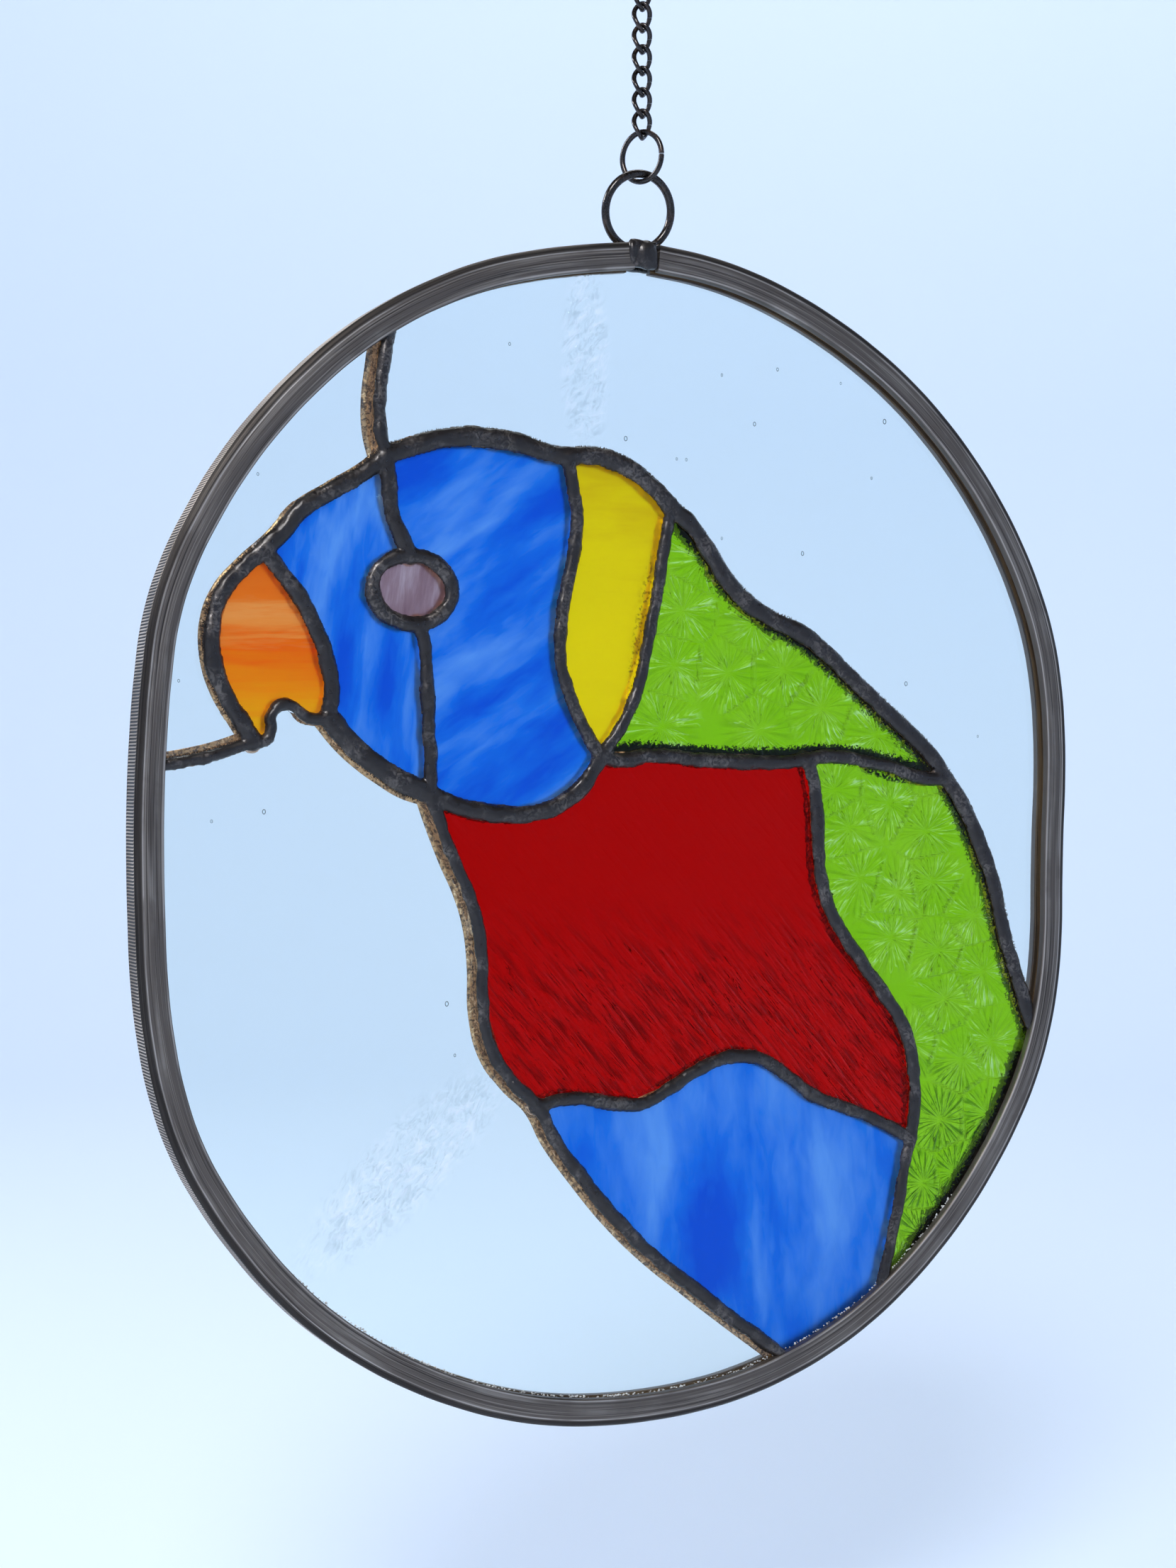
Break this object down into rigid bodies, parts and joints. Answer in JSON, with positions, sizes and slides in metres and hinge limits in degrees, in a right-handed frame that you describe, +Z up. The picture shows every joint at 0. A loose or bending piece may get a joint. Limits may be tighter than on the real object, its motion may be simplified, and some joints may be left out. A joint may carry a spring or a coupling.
{
  "type": "stained glass suncatcher",
  "caption": "Hanging oval stained glass panel of a rainbow-coloured parrot in profile, framed in lead came, with a soldered ring and a twisted chain above it.",
  "frame": {"origin": "inside top of the end ring, where a hook or nail carries the object", "axes": "+Z up along the chain, +X to the right as seen from the front, -Y towards the viewer of the front face"},
  "size_m": [0.189, 0.0088, 0.2734],
  "materials": {
    "lead_came": "drawn lead, dark grey-brown patina, lengthwise scratches, milled ribs across the outer wall",
    "patina_solder": "solder beads under black patina, satin, slightly lumpy",
    "black_wire": "blackened steel wire, glossy black-brown",
    "clear_glass": "clear drawn glass with fine ripples and seed bubbles, faint grey-green",
    "orange_glass": "streaky orange opal glass with a peach band",
    "blue_glass": "streaky mid-blue opal glass with paler wisps",
    "mauve_glass": "streaky grey-mauve opal glass",
    "yellow_glass": "even yellow opal glass",
    "green_glass": "bright green glass with pressed radial bursts",
    "red_glass": "deep red glass with fine hammered ripples"
  },
  "bodies": {
    "root": {"came_frame": "lead_came", "solder_seams": "patina_solder", "joint_solder": "patina_solder", "hanging_ring": "black_wire", "glass_clear_upper_left": "clear_glass", "glass_clear_right": "clear_glass", "glass_clear_lower_left": "clear_glass", "glass_beak": "orange_glass", "glass_face": "blue_glass", "glass_head": "blue_glass", "glass_eye": "mauve_glass", "glass_collar": "yellow_glass", "glass_wing_upper": "green_glass", "glass_wing_lower": "green_glass", "glass_breast": "red_glass", "glass_belly": "blue_glass", "jump_ring": "black_wire", "chain_link_1": "black_wire", "chain_link_2": "black_wire", "chain_link_3": "black_wire", "chain_link_4": "black_wire", "chain_link_5": "black_wire", "chain_link_6": "black_wire", "chain_link_7": "black_wire", "chain_link_8": "black_wire", "end_ring": "black_wire"}
  },
  "joints": []
}
